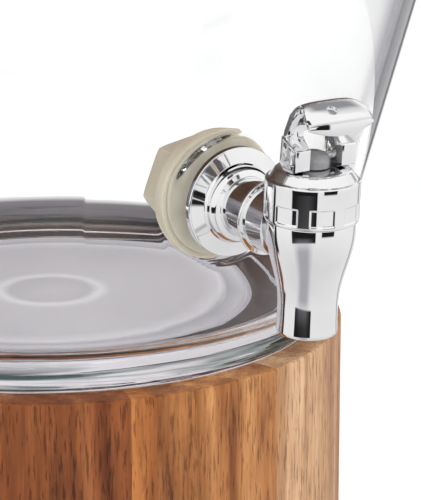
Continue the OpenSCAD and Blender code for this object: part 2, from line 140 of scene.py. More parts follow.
# ---------------------------------------------------------------- node helpers
class Nodes:
    """A short way to write a node tree: n("Type", input=value) adds a node and links its inputs."""

    def __init__(self, tree):
        self.tree = tree
        tree.nodes.clear()

    def __call__(self, kind, settings=None, **inputs):
        node = self.tree.nodes.new(kind)
        for key, value in (settings or {}).items():
            setattr(node, key, value)
        for key, value in inputs.items():
            socket = self.socket(node, key)
            if isinstance(value, bpy.types.NodeSocket):
                self.tree.links.new(value, socket)
            else:
                socket.default_value = value
        return node

    @staticmethod
    def socket(node, key):
        """An input by its name, with _ for a space, or by its number, as in i0."""
        if key.startswith("i") and key[1:].isdigit():
            return node.inputs[int(key[1:])]
        return node.inputs[key.replace("_", " ")]

    def math(self, operation, a, b=0.0):
        return self("ShaderNodeMath", {"operation": operation}, i0=a, i1=b).outputs[0]

    def times(self, a, b):
        return self.math("MULTIPLY", a, b)

    def measure(self, operation, **vectors):
        """A number from vectors: a length, a distance or a dot product."""
        return self("ShaderNodeVectorMath", {"operation": operation}, **vectors).outputs["Value"]

    def split(self, vector):
        return self("ShaderNodeSeparateXYZ", Vector=vector).outputs

    def ray(self, kind):
        return self("ShaderNodeLightPath").outputs[kind]

    def ramp(self, value, *stops):
        """A colour ramp through stops of (place, colour)."""
        node = self("ShaderNodeValToRGB", Fac=value)
        points = node.color_ramp.elements
        while len(points) < len(stops):
            points.new(0.5)
        for point, (place, colour) in zip(points, stops):
            point.position = place
            point.color = (*colour, 1)
        return node.outputs["Color"]

    def fade(self, value, low, high, at_low=0.0, at_high=1.0):
        """Goes from at_low to at_high as the value goes from low to high, and stays there."""
        node = self("ShaderNodeMapRange", Value=value, From_Min=low, From_Max=high, To_Min=at_low,
                    To_Max=at_high)
        return node.outputs["Result"]

    def mix(self, kind, amount, a, b):
        node = self("ShaderNodeMix", {"data_type": "RGBA", "blend_type": kind}, i0=amount, i6=a, i7=b)
        return node.outputs[2]

    def noise(self, vector, scale, detail=4.0, roughness=0.5, distortion=0.0):
        node = self("ShaderNodeTexNoise", Vector=vector, Scale=scale, Detail=detail, Roughness=roughness,
                    Distortion=distortion)
        return node.outputs["Fac"]

    def where(self, scale=(1, 1, 1), shift=(0, 0, 0)):
        """The point's own place, scaled and then shifted."""
        place = self("ShaderNodeTexCoord").outputs["Object"]
        return self("ShaderNodeMapping", Vector=place, Location=shift, Scale=scale).outputs["Vector"]

    def from_axis(self):
        return self.measure("LENGTH", i0=self.where((1, 1, 0)))

    def bump(self, height, strength, distance):
        return self("ShaderNodeBump", Height=height, Strength=strength, Distance=distance).outputs["Normal"]

    def blend(self, amount, a, b):
        return self("ShaderNodeMixShader", i0=amount, i1=a.outputs[0], i2=b.outputs[0])

    def output(self, shader):
        self("ShaderNodeOutputMaterial", Surface=shader.outputs[0])


def new_material(name):
    material = bpy.data.materials.new(name)
    material.use_nodes = True
    return material, Nodes(material.node_tree)


def principled(n, **inputs):
    n.output(n("ShaderNodeBsdfPrincipled", **inputs))


# ---------------------------------------------------------------- world
# What the plated parts mirror. First the tone from straight down to straight up.
MIRRORED_SKY = [
    (0, (0.62, 0.62, 0.63)),
    (0.38, (0.83, 0.83, 0.83)),
    (0.5, (0.93, 0.93, 0.93)),
    (0.8, (1, 1, 1)),
]
# Then zones on it: middle azimuth from the tap's front, half the width, lowest and highest elevation, tone
# and soft edge, with all but the tone in degrees.
MIRRORED_ZONES = [
    (-55, 31, -24, -9, 0.012, 1.0),
    (-57, 20, -80, -26, 0.42, 9.0),
    (8, 17, -17.8, 14, 0.012, 1.0),
    (108, 6, -70, 25, 0.45, 2.0),
    (131, 3, -70, 25, 0.30, 1.0),
    (-150, 16, -30, 24, 0.02, 1.5),
    (150, 48, 38, 66, 0.30, 8.0),
    (-30, 26, 67, 80, 0.05, 1.5),
]
# What the glass gathers: tone by the angle from the way the camera looks, from 0 to half a turn.
GATHERED = [
    (0, (1.14, 1.14, 1.14)),
    (0.055, (1.14, 1.14, 1.14)),
    (0.085, (0.55, 0.54, 0.57)),
    (0.125, (0.10, 0.085, 0.10)),
    (0.24, (0.10, 0.085, 0.10)),
    (0.40, (0.07, 0.065, 0.075)),
    (0.46, (0.22, 0.21, 0.24)),
    (0.55, (0.16, 0.15, 0.17)),
    (0.72, (0.5, 0.5, 0.52)),
    (1, (0.7, 0.7, 0.72)),
]
# Beside the white backdrop, in degrees of azimuth: a dark flag, gathered by light that stays inside the wall
# and so crosses only its outer face, and a pale side, gathered through both walls.
SIDE_FLAG, FLAG_TONE, FLAG_SOFT = (108, 152), (0.10, 0.09, 0.115, 1), 0.6
PALE_SIDE, PALE_TONE, PALE_SOFT = (90, 134), (0.60, 0.59, 0.63, 1), 1.5
WHITE = (1, 1, 1, 1)


def window(n, value, low, high, soft):
    """1 where an angle lies between two values in degrees, and 0 outside them."""
    rise = n.fade(value, math.radians(low - soft), math.radians(low + soft))
    fall = n.fade(value, math.radians(high - soft), math.radians(high + soft), 1.0, 0.0)
    return n.times(rise, fall)


def mirrored_tone(n, azimuth, elevation):
    tone = n.ramp(n.fade(elevation, -1.57, 1.57), *MIRRORED_SKY)
    for middle, half, low, high, grey, soft in MIRRORED_ZONES:
        inside = n.times(window(n, azimuth, middle - half, middle + half, soft),
                         window(n, elevation, low, high, soft))
        tone = n.mix("MIX", inside, tone, (grey, grey, grey * 1.06, 1))
    return tone


def gathered_tone(n, way, azimuth, elevation):
    turned_away = n.math("ARCCOSINE", n.measure("DOT_PRODUCT", i0=way, i1=FORWARD))
    tone = n.ramp(n.math("DIVIDE", turned_away, math.pi), *GATHERED)
    tone = n.mix("MIX", window(n, azimuth, *PALE_SIDE, PALE_SOFT), tone, PALE_TONE)
    in_wall = n.math("LESS_THAN", n.ray("Transmission Depth"), 3.0)
    flag = n.times(window(n, azimuth, *SIDE_FLAG, FLAG_SOFT), window(n, elevation, -40, 0, FLAG_SOFT))
    return n.mix("MIX", n.times(flag, in_wall), tone, FLAG_TONE)


def make_world():
    """A white studio, with tones of its own for what is mirrored and for what the glass gathers."""
    world = bpy.data.worlds.new("studio")
    bpy.context.scene.world = world
    world.use_nodes = True
    n = Nodes(world.node_tree)
    way = n("ShaderNodeTexCoord").outputs["Generated"]
    parts = n.split(way)
    elevation = n.math("ARCSINE", parts["Z"])
    azimuth = n.math("ARCTAN2", parts["X"], n.times(parts["Y"], -1.0))
    seen = n.mix("MIX", n.ray("Is Glossy Ray"), WHITE, mirrored_tone(n, azimuth, elevation))
    seen = n.mix("MIX", n.ray("Is Transmission Ray"), seen, gathered_tone(n, way, azimuth, elevation))
    n("ShaderNodeOutputWorld", Surface=n("ShaderNodeBackground", Color=seen, Strength=1.02).outputs[0])


def make_floor():
    """A white floor. Seen through the glass, its part round the ring is dark with painted shade."""
    mesh = bpy.data.meshes.new("floor")
    bm = bmesh.new()
    bmesh.ops.create_circle(bm, cap_ends=True, segments=96, radius=0.6)
    bm.to_mesh(mesh)
    bm.free()
    floor = link(bpy.data.objects.new("floor", mesh))
    material, n = new_material("floor")
    grain = n.noise(n.where(), 40.0, 3.0)
    tone = n.ramp(grain, (0.3, (0.90, 0.90, 0.90)), (0.7, (0.93, 0.93, 0.93)))
    out = n.from_axis()
    near = n.times(n.fade(out, 0.11, 0.12), n.fade(out, 0.40, 0.52, 1.0, 0.0))
    # Painted shade: the floor round the ring turns dark only where it is seen through the glass.
    gathered = n.times(near, n.ray("Is Transmission Ray"))
    tone = n.mix("MIX", gathered, tone, (0.10, 0.085, 0.10, 1))
    glow = n.times(n.math("SUBTRACT", 1.0, gathered), 0.12)
    principled(n, Base_Color=tone, Roughness=0.6, Emission_Color=WHITE, Emission_Strength=glow)
    mesh.materials.append(material)
    floor.visible_glossy = False


# ---------------------------------------------------------------- materials
def wood(name, dark, middle, light, seed, lying=False):
    """Oiled hardwood, grain upright or along X: wide bands, fine streaks, dark pores and a thin coat, with painted
    shade where it is seen through the glass.
    """
    material, n = new_material(name)
    shift = (seed * 1.37, seed * 0.73, seed * 2.11)

    def grain(across, along):
        return n.where((along, across, across) if lying else (across, across, along), shift)

    bands = n.noise(grain(38, 3.2), 1.0, 5.0, 0.55, 1.1)
    streaks = n.noise(grain(340, 14), 1.0, 8.0, 0.72, 0.35)
    pores = n.noise(grain(1000, 95), 1.0, 3.0, 0.6)
    figure = n.noise(grain(14, 16), 1.0, 3.0, 0.5, 1.6)
    tone = n.ramp(bands, (0.34, dark), (0.50, middle), (0.64, light))
    tone = n.mix("MULTIPLY", 0.75, tone, n.ramp(streaks, (0.30, (0.44, 0.37, 0.32)), (0.58, (1, 1, 1))))
    tone = n.mix("MULTIPLY", 0.55, tone, n.ramp(pores, (0.37, (0.16, 0.10, 0.07)), (0.46, (1, 1, 1))))
    tone = n.mix("SOFT_LIGHT", 0.45, tone, n.ramp(figure, (0.3, (0.3, 0.3, 0.3)), (0.7, (0.78, 0.76, 0.72))))
    # Painted shade: seen through the glass, the wood is darkened as if the ring's inside lay in shadow.
    shade_behind_glass = n.times(n.ray("Is Transmission Ray"), 0.9)
    tone = n.mix("MULTIPLY", shade_behind_glass, tone, (0.20, 0.20, 0.24, 1))
    shine = n.fade(streaks, 0.2, 0.8, 0.5, 0.36)
    height = n.math("ADD", n.times(streaks, 0.6), n.fade(pores, 0.28, 0.42))
    principled(n, Base_Color=tone, Roughness=shine, Normal=n.bump(height, 0.22, 0.0004),
               Specular_IOR_Level=0.22)
    return material


def chrome():
    """Bright plating with a faint haze and ripple."""
    material, n = new_material("chrome")
    haze = n.noise(n.where(), 60.0, 3.0)
    ripple = n.noise(n.where(), 180.0, 2.0)
    tint = n.ramp(haze, (0.3, (0.86, 0.86, 0.87)), (0.7, (0.93, 0.93, 0.93)))
    principled(n, Base_Color=tint, Metallic=1.0, Roughness=n.fade(haze, 0.3, 0.7, 0.015, 0.045),
               Normal=n.bump(ripple, 0.02, 0.0002))
    return material


def clear_glass():
    """Clear glass that bends light less near the tap, with drawn ripples, and with painted dark reflections in
    streaks at the heel.
    """
    material, n = new_material("clear_glass")
    swell = n.noise(n.where((1, 1, 0.6)), 9.0, 2.0)
    tint = n.ramp(swell, (0.3, (0.975, 0.98, 0.98)), (0.7, (0.99, 0.992, 0.992)))
    where = n("ShaderNodeTexCoord").outputs["Object"]
    parts = n.split(where)
    radius = n.from_axis()
    across = n.math("ADD", n.times(radius, 230.0), n.times(parts["Y"], 9.0))
    drawn = n("ShaderNodeCombineXYZ", X=across, Y=n.times(parts["Z"], 230.0), Z=n.times(parts["X"], 9.0))
    ripple = n.noise(drawn.outputs[0], 1.0, 3.0, 0.55, 0.4)
    at_heel = n.times(n.fade(parts["Z"], RING_TOP + 0.009, RING_TOP + 0.016, 1.0, 0.0),
                      n.fade(radius, 0.095, 0.100))
    # Painted reflection: dark green streaks in the tint at the heel stand in for the dark reflections in the glass
    # there.
    streaks = n.ramp(ripple, (0.43, (0.008, 0.02, 0.018)), (0.50, (0.25, 0.32, 0.31)), (0.56, (1, 1, 1)))
    tint = n.mix("MULTIPLY", at_heel, tint, streaks)
    height = n.math("ADD", n.times(swell, 0.04), n.times(ripple, at_heel))
    bend = n.fade(n.measure("DISTANCE", i0=where, i1=FLANGE), 0.029, 0.056, 1.13, 1.5)
    glass = n("ShaderNodeBsdfPrincipled", Base_Color=tint, Roughness=0.0, IOR=bend, Transmission_Weight=1.0,
              Normal=n.bump(height, 0.5, 0.0016))
    unbent = n.math("MAXIMUM", n.ray("Is Shadow Ray"), n.ray("Is Diffuse Ray"))
    n.output(n.blend(unbent, glass, n("ShaderNodeBsdfTransparent", Color=(0.93, 0.94, 0.94, 1))))
    return material


def frosted_glass():
    """The jar's underside: pressed glass with a pale skin in faint rings of painted shade and painted highlight,
    standing in for the dark ring seen through the floor and what the floor reflects.
    """
    material, n = new_material("frosted_glass")
    cloud = n.noise(n.where(), 22.0, 4.0, 0.55)
    around = n.math("ADD", n.from_axis(), n.times(n.math("SUBTRACT", cloud, 0.5), 0.006))
    # Painted shade and painted highlight: a bright ring near the middle and darker rings towards the edge, in
    # place of what is seen through the floor and reflected in it.
    tone = n.ramp(
        n.math("DIVIDE", around, 0.1),
        (0, (0.66, 0.65, 0.69)),
        (0.16, (0.60, 0.59, 0.63)),
        (0.20, (0.86, 0.86, 0.89)),
        (0.25, (0.66, 0.65, 0.69)),
        (0.62, (0.62, 0.61, 0.65)),
        (0.70, (0.74, 0.73, 0.77)),
        (0.73, (0.46, 0.45, 0.49)),
        (0.80, (0.60, 0.59, 0.63)),
        (0.84, (0.40, 0.39, 0.43)),
        (0.92, (0.34, 0.32, 0.36)),
    )
    tone = n.mix("MULTIPLY", 0.5, tone, n.ramp(cloud, (0.3, (0.8, 0.8, 0.82)), (0.7, (1, 1, 1))))
    skin = n.blend(0.35, n("ShaderNodeBsdfDiffuse", Color=tone), n("ShaderNodeBsdfTranslucent", Color=tone))
    glass = n("ShaderNodeBsdfGlass", Color=(0.97, 0.97, 0.98, 1), Roughness=0.25, IOR=1.5)
    both = n.blend(0.14, skin, glass)
    # Painted light: the underside glows in its own tone so that it looks lit.
    glow = n("ShaderNodeEmission", Color=tone, Strength=0.52)
    n.output(n("ShaderNodeAddShader", i0=both.outputs[0], i1=glow.outputs[0]))
    return material


def nylon():
    material, n = new_material("milky_nylon")
    cloud = n.noise(n.where(), 70.0)
    fine = n.noise(n.where(), 900.0, 2.0)
    tone = n.ramp(cloud, (0.3, (0.50, 0.44, 0.345)), (0.7, (0.58, 0.53, 0.43)))
    principled(n, Base_Color=tone, Roughness=n.fade(fine, 0.3, 0.7, 0.38, 0.5), Subsurface_Weight=0.7,
               Subsurface_Radius=(1.0, 0.95, 0.8), Subsurface_Scale=0.005, Normal=n.bump(fine, 0.1, 0.0002))
    return material


def cloudy_plastic(name, size, dark, light, smoothest, roughest, depth):
    """A plastic with cloudy colour and shine that light enters to a depth in metres."""
    material, n = new_material(name)
    cloud = n.noise(n.where(), size, 3.0)
    tone = n.ramp(cloud, (0.3, dark), (0.7, light))
    principled(n, Base_Color=tone, Roughness=n.fade(cloud, 0.3, 0.7, smoothest, roughest),
               Subsurface_Weight=0.4, Subsurface_Radius=(1.0, 1.0, 1.0), Subsurface_Scale=depth)
    return material


def foot_rubber():
    material, n = new_material("foot_rubber")
    fine = n.noise(n.where(), 700.0, 3.0)
    tone = n.ramp(fine, (0.3, (0.018, 0.018, 0.02)), (0.7, (0.04, 0.04, 0.042)))
    principled(n, Base_Color=tone, Roughness=n.fade(fine, 0.3, 0.7, 0.6, 0.85),
               Normal=n.bump(fine, 0.3, 0.0003))
    return material


def pin_steel():
    """Bare steel with fine turning lines across X."""
    material, n = new_material("pin_steel")
    lines = n.noise(n.where((30, 900, 900)), 1.0, 2.0)
    tone = n.ramp(lines, (0.3, (0.55, 0.55, 0.57)), (0.7, (0.72, 0.72, 0.74)))
    principled(n, Base_Color=tone, Metallic=1.0, Roughness=n.fade(lines, 0.3, 0.7, 0.2, 0.35))
    return material


# ---------------------------------------------------------------- mesh helpers
def mesh_object(name, bm, place=Matrix.Identity(4)):
    """Closes a mesh, takes it to its place and makes it an object."""
    bmesh.ops.remove_doubles(bm, verts=bm.verts, dist=1e-4)
    bmesh.ops.recalc_face_normals(bm, faces=bm.faces)
    bm.transform(place)
    mesh = bpy.data.meshes.new(name)
    bm.to_mesh(mesh)
    bm.free()
    return link(bpy.data.objects.new(name, mesh))


def dress(piece, material, body, smooth):
    """Shades a piece smooth up to an angle in degrees, gives it its material and rides it on a body."""
    for face in piece.data.polygons:
        face.use_smooth = True
    piece.data.set_sharp_from_angle(angle=math.radians(smooth))
    piece.data.materials.clear()
    piece.data.materials.append(material)
    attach(piece, body)
    return piece


def rounded(corners, steps=6):
    """A closed outline with each corner (x, y, radius) replaced by an arc."""
    points = []
    count = len(corners)
    for i, (x, y, r) in enumerate(corners):
        here = Vector((x, y))
        before = Vector(corners[i - 1][:2]) - here
        after = Vector(corners[(i + 1) % count][:2]) - here
        if r <= 0 or before.length < TINY or after.length < TINY:
            points.append((x, y))
            continue
        a, b = before.normalized(), after.normalized()
        half = a.angle(b) / 2
        reach = min(r / math.tan(half), before.length * 0.48, after.length * 0.48)
        r = reach * math.tan(half)
        centre = here + (a + b).normalized() * (r / math.sin(half))
        start, end = here + a * reach, here + b * reach
        first = (start - centre).angle_signed(Vector((1, 0)))
        sweep = (end - centre).angle_signed(start - centre)
        for k in range(steps + 1):
            angle = first + sweep * k / steps
            points.append((centre.x + r * math.cos(angle), centre.y + r * math.sin(angle)))
    return points


def ring(bm, radius, height, segments):
    """A ring of vertices about Z, or one vertex on the axis. The radius may be a function of the angle."""
    if radius == 0:
        return [bm.verts.new((0, 0, height))]
    row = []
    for k in range(segments):
        a = TURN * k / segments
        r = radius(a) if callable(radius) else radius
        row.append(bm.verts.new((r * math.cos(a), r * math.sin(a), height)))
    return row


def skin(bm, rows, closed=True):
    """Faces between rows of vertices, each a ring or a single one. Closed, the last row joins the first."""
    count = max(len(row) for row in rows)
    for a, b in zip(rows, rows[1:] + rows[:1] if closed else rows[1:]):
        if len(a) == len(b) == 1:
            continue
        for k in range(count):
            j = (k + 1) % count
            if len(a) == 1:
                bm.faces.new((a[0], b[k], b[j]))
            elif len(b) == 1:
                bm.faces.new((a[k], a[j], b[0]))
            else:
                bm.faces.new((a[k], a[j], b[j], b[k]))


def loft(bm, rows):
    """A solid through rings of vertices, with a face at each end."""
    bm.faces.new(rows[0])
    bm.faces.new(rows[-1])
    skin(bm, rows, closed=False)


def lathe(outline, segments):
    """Turns an outline of (radius, height) about Z."""
    bm = bmesh.new()
    skin(bm, [ring(bm, r, h, segments) for r, h in outline])
    return bm


def turned(name, corners, material, body, place, segments=128, steps=6, smooth=40):
    """A turned piece from an outline of (radius, height, fillet)."""
    return dress(mesh_object(name, lathe(rounded(corners, steps), segments), place), material, body, smooth)


def drum(radius, low, high, place, segments=64):
    """A round cutter between two heights."""
    return mesh_object("cutter", lathe([(0, low), (radius, low), (radius, high), (0, high)], segments), place)


def settle(piece):
    """Makes the mesh that a piece's modifiers show its own."""
    bpy.context.view_layer.update()
    mesh = bpy.data.meshes.new_from_object(piece.evaluated_get(bpy.context.evaluated_depsgraph_get()))
    piece.modifiers.clear()
    piece.data = mesh


def combine(piece, other, operation="DIFFERENCE"):
    """Cuts a piece with another object, or joins the two, and removes the other."""
    modifier = piece.modifiers.new("cut", "BOOLEAN")
    modifier.operation = operation
    modifier.solver = "EXACT"
    modifier.object = other
    settle(piece)
    bpy.data.objects.remove(other)


def smoothstep(low, high, value):
    t = min(1, max(0, (value - low) / (high - low)))
    return t * t * (3 - 2 * t)


# ---------------------------------------------------------------- wooden ring
RING_R = 116
STAVE_T = 20
RING_EASE = 1.1
STAVE_FACETS = 1.6  # for each degree
FOOT_T = ring_low.z / MM
FOOT_IN = 3
WOOD_TONES = {
    "wood_brown": [(0.20, 0.065, 0.020), (0.38, 0.155, 0.050), (0.54, 0.26, 0.10)],
    "wood_tan": [(0.34, 0.165, 0.07), (0.50, 0.285, 0.145), (0.64, 0.41, 0.24)],
    "wood_red": [(0.13, 0.034, 0.010), (0.245, 0.075, 0.022), (0.37, 0.14, 0.05)],
    "wood_orange": [(0.28, 0.09, 0.024), (0.45, 0.17, 0.048), (0.58, 0.26, 0.09)],
}


def stave(name, material):
    """One wedge of the ring, on the CAD stave's own angles, with eased edges."""
    points = [v.co for v in frame["nodes"][name].data.vertices]
    middle = sum(points, Vector()) / len(points)
    centre = math.atan2(middle.y, middle.x)
    spread = [((math.atan2(p.y, p.x) - centre + math.pi) % TURN) - math.pi for p in points]
    start, end = centre + min(spread), centre + max(spread)
    steps = max(4, round(math.degrees(end - start) * STAVE_FACETS))
    inner, top = RING_R - STAVE_T, RING_TOP / MM
    corners = [(inner, FOOT_T), (RING_R, FOOT_T), (RING_R, top), (inner, top)]
    outline = rounded([(r, h, RING_EASE) for r, h in corners], 4)
    bm = bmesh.new()
    rows = []
    for k in range(steps + 1):
        a = start + (end - start) * k / steps
        rows.append([bm.verts.new((r * math.cos(a), r * math.sin(a), h)) for r, h in outline])
    loft(bm, rows)
    piece = dress(mesh_object(name + "_wood", bm, UPRIGHT), material, "base", 40)
    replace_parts(piece, name)


def make_ring():
    slots = {s["node"]: s["material_slot"] for s in frame["record"]["subparts"]}
    names = sorted((n for n in frame["nodes"] if n.startswith("stave_")), key=lambda n: int(n.split("_")[1]))
    for i, name in enumerate(names):
        slot = slots[name]
        stave(name, wood(f"{slot}_{i}", *WOOD_TONES[slot], seed=i * 3.1))


def make_foot(material):
    inner, outer = RING_R - STAVE_T + FOOT_IN, RING_R - FOOT_IN
    corners = [(inner, 0, 0.4), (outer, 0, 0.4), (outer, FOOT_T, 0.2), (inner, FOOT_T, 0.2)]
    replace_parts(turned("foot_rubber", corners, material, "base", UPRIGHT, 256), "foot_ring")


# ---------------------------------------------------------------- jar
JAR_R, FLARE, GLASS_T, FLOOR_T, HEEL_R, RIM_EASE = 107.7, math.radians(15.5), 4.5, 12, 8, 2.1
FLOOR_FILLET, FOOT_STEP, FOOT_GAP, PUNT_R, PUNT_STEP, FOOT_LAND = 14, 4, 1, 70, 12, 11
SEAT_R, SEAT_OUT, SEAT_T, SEAT_BEND, SEAT_PAD, THREAD_R, THREAD_GAP = 21, -6, 6, 27, 14, 9.9, 0.5
FOOT_R = RING_R - STAVE_T - FOOT_GAP
JAR_H = (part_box("glass_jar")[1].z - RING_TOP) / MM
WALL_IN = GLASS_T / math.cos(FLARE)
WALL_ROWS = 120


def wall_r(z):
    return JAR_R + math.tan(FLARE) * z


def jar_outline():
    """The jar's section: foot, outer wall, rim, inner wall, floor."""
    side = [(JAR_H - 3) * (i + 1) / WALL_ROWS for i in range(WALL_ROWS)]
    foot = [(r, FOOT_STEP / 2, 0) for r in (0, 24, 48)] + [
        (PUNT_R, FOOT_STEP / 2, 3), (PUNT_R + PUNT_STEP * 0.3, 0, 2),
        (PUNT_R + PUNT_STEP, -FOOT_STEP * 0.4, 2), (FOOT_R - FOOT_LAND, -FOOT_STEP, 1.5),
        (FOOT_R, -FOOT_STEP, 1.2), (FOOT_R, 0, 0.3), (FOOT_R + 3, 0, 0), (wall_r(0), 0, HEEL_R)]
    outer = [(wall_r(z), z, 0) for z in side if z > HEEL_R * 1.4]
    rim = [(wall_r(JAR_H), JAR_H, RIM_EASE), (wall_r(JAR_H) - WALL_IN, JAR_H, RIM_EASE)]
    inner = [(wall_r(z) - WALL_IN, z, 0) for z in reversed(side) if z > FLOOR_T + FLOOR_FILLET * 1.35]
    floor = [(wall_r(FLOOR_T) - WALL_IN, FLOOR_T, FLOOR_FILLET)] + [(r, FLOOR_T, 0) for r in (72, 48, 24, 0)]
    return foot + outer + rim + inner + floor


def jar_angles():
    """Angles round the jar, closer together at the tap."""
    angles, a = [], -90.0
    while a < 270 - 0.3:
        angles.append(math.radians(a))
        off = min(abs(a + 90), abs(a - 270))
        a += 0.5 if off < 14 else 1.5
    return angles


def flatten_seat(point, z):
    """Moves both faces of the wall together to the flat seat round the tap hole, with a long soft bend."""
    radius = math.hypot(point.x, point.y) / MM
    inside = radius < wall_r(z) - GLASS_T * 0.5
    on_wall = Vector((point.x * wall_r(z) / radius, point.y * wall_r(z) / radius, point.z))
    away = on_wall - FLANGE
    along = away.dot(OUT) / MM
    off = (away - OUT * away.dot(OUT)).length / MM
    if off > SEAT_BEND or along < -SEAT_BEND:
        return point
    shift = (SEAT_OUT - along) * (1 - smoothstep(SEAT_R - 1, SEAT_BEND, off))
    if inside:
        shift -= (SEAT_T - WALL_IN) * (1 - smoothstep(SEAT_PAD, SEAT_BEND, off))
    return point + OUT * shift * MM


def jar_row(bm, r, h, angles):
    """One ring of the jar's section, pressed flat at the tap."""
    if r == 0:
        return [bm.verts.new(ON_RING @ Vector((0, 0, h)) / MM)]
    row = []
    for a in angles:
        point = ON_RING @ Vector((r * math.cos(a), r * math.sin(a), h))
        if HEEL_R * 2 < h < JAR_H - RIM_EASE * 3:
            point = flatten_seat(point, h)
        row.append(bm.verts.new(point / MM))
    return row


def make_jar(glass, frost):
    angles = jar_angles()
    bm = bmesh.new()
    skin(bm, [jar_row(bm, r, h, angles) for r, h in rounded(jar_outline(), 8)])
    jar = dress(mesh_object("jar_glass", bm, UPRIGHT), glass, "jar", 50)
    combine(jar, drum(THREAD_R + THREAD_GAP, SEAT_OUT - SEAT_T - 2, SEAT_OUT + 2, ALONG_SHANK, 96))
    jar.data.materials.append(frost)
    for face in jar.data.polygons:
        reach = math.hypot(face.center.x, face.center.y) / MM
        if face.center.z < RING_TOP + (FOOT_STEP / 2 + 0.1) * MM and reach < FOOT_R - FOOT_LAND:
            face.material_index = 1
    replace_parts(jar, "glass_jar")


# ---------------------------------------------------------------- shank and nut
FLANGE_R, FLANGE_T, BOSS_R, BOSS_LEN, NECK_R, NECK_END = 20, 4.5, 14, 5.1, 10.9, 18.6
TAIL, PITCH, THREAD_DEPTH, BORE_R, SOCKET_R, SOCKET_LEN = 33, 2, 0.9, 5, 9.3, 6.6
COLLAR_R, COLLAR_T, NUT_R, NUT_LEN, NUT_TURN, NUT_FLARE = 23.5, 5, 18.8, 21.9, math.radians(-19.6), 8.5
HEX_EASE, HEX_EASE_TURN = 0.0192, 0.10
WASHER_T = 1.5
NUT_FRONT = SEAT_OUT - SEAT_T - WASHER_T
NUT_SEGMENTS = 216


def make_shank(material):
    back = -FLANGE_T - TAIL
    root = THREAD_R - THREAD_DEPTH
    thread = []
    for i in range(int((TAIL - 2) / PITCH)):
        low = back + 1 + PITCH * i
        thread += [(root, low, 0.1), (THREAD_R, low + PITCH / 2, 0.1)]
    flange = [(FLANGE_R - 0.5, -FLANGE_T, 0.6), (FLANGE_R, -FLANGE_T + 1.2, 0.8), (FLANGE_R, -1.35, 0.8),
              (FLANGE_R - 0.8, -1.2, 0.3)]
    boss = [(BOSS_R + 0.5, 0, 0.35), (BOSS_R, 1.0, 0.3), (BOSS_R - 0.15, 2.6, 2),
            (BOSS_R - 1.2, BOSS_LEN - 0.8, 1.2)]
    neck = [(NECK_R, BOSS_LEN, 0.35), (NECK_R, NECK_END, 0.15), (SOCKET_R, NECK_END, 0),
            (SOCKET_R, NECK_END + SOCKET_LEN, 0.3), (BORE_R, NECK_END + SOCKET_LEN, 0.3)]
    corners = [(BORE_R, back, 0.3), (root, back, 0.3), *thread, (root, -FLANGE_T, 0), *flange, *boss, *neck]
    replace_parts(turned("shank_plated", corners, material, "jar", ALONG_SHANK, 160, 5, 50), "shank")


def hexagon(angle, radius):
    """Radius of a hexagon with softened corners, whose corner radius is given, at an angle from a corner."""
    sector = math.pi / 3
    a = (angle + sector / 2) % sector - sector / 2
    sharp = radius * math.cos(sector / 2) / math.cos(sector / 2 - abs(a))
    return sharp - HEX_EASE * radius * math.exp(-(a / HEX_EASE_TURN) ** 2)


def nut_r(angle, share, radius):
    """Radius of the nut at an angle, between the hexagon and the round collar by its share."""
    core = min(radius, NUT_R)
    flat = hexagon(angle - math.pi / 2 - NUT_TURN, core) * (radius / core)
    return flat * (1 - share) + radius * share


def make_nut(material):
    back = NUT_FRONT - NUT_LEN
    collar = NUT_FRONT - COLLAR_T
    waist = collar - NUT_FLARE
    prism = back + 0.9
    # Each row is (height, share of the round collar, radius of the round form).
    rows = [(back, 0, NUT_R - 1.1), (back + 0.35, 0, NUT_R - 0.4)]
    rows += [(prism + (waist - prism) * i / 6, 0, NUT_R) for i in range(7)]
    for i in range(1, 13):
        t = i / 12
        rows.append((waist + NUT_FLARE * t, smoothstep(0, 1, t), NUT_R + (COLLAR_R - NUT_R) * t ** 1.5))
    # The collar's side, with its fine line and eased edge: (back from the front, inwards).
    side = [(COLLAR_T - 0.5, 0), (2.6, 0), (2.4, 0.15), (2.2, 0), (0.6, 0), (0.15, 0.2), (0, 0.7)]
    rows += [(NUT_FRONT - behind, 1, COLLAR_R - inwards) for behind, inwards in side]
    hole = THREAD_R + 0.1
    bm = bmesh.new()
    rings = [ring(bm, hole, back + 0.4, NUT_SEGMENTS), ring(bm, hole + 0.4, back, NUT_SEGMENTS)]
    rings += [ring(bm, lambda a, s=share, r=radius: nut_r(a, s, r), height, NUT_SEGMENTS)
              for height, share, radius in rows]
    rings.append(ring(bm, hole, NUT_FRONT, NUT_SEGMENTS))
    skin(bm, rings)
    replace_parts(dress(mesh_object("nut_nylon", bm, ALONG_SHANK), material, "jar", 35), "hex_nut")


# ---------------------------------------------------------------- tap body
BRANCH_R, RING_LIP_R, RING_LIP_T, BRANCH_OVERLAP = 11.9, 13.6, 1.2, 1.6
SHOULDER_R, WAIST_R, OUTLET_DROP, OUTLET_BORE = 15.3, 10.4, 34.5, 8.2
CHAMBER_R, THROAT_R, SEAT_TOP, SEAT_LOW, THROAT_LOW = 11.3, 6.5, -4, -14, -16
BONNET_R, BONNET_LOW, BONNET_RIM, BONNET_GAP, DOME_H, DOME_FLAT_R = 16.3, 6.3, 20.5, 0.3, 3.7, 12.8
SPIGOT_R = SHOULDER_R - 1.9
SPIGOT_TOP = BONNET_LOW + 7.7
BLEND_TOP, BLEND_LOW, BLEND_ROWS = 3, -24, 28


def body_r(z):
    t = (BLEND_TOP - z) / (BLEND_TOP - BLEND_LOW)
    return WAIST_R + (SHOULDER_R - WAIST_R) * (1 + math.cos(math.pi * t)) / 2


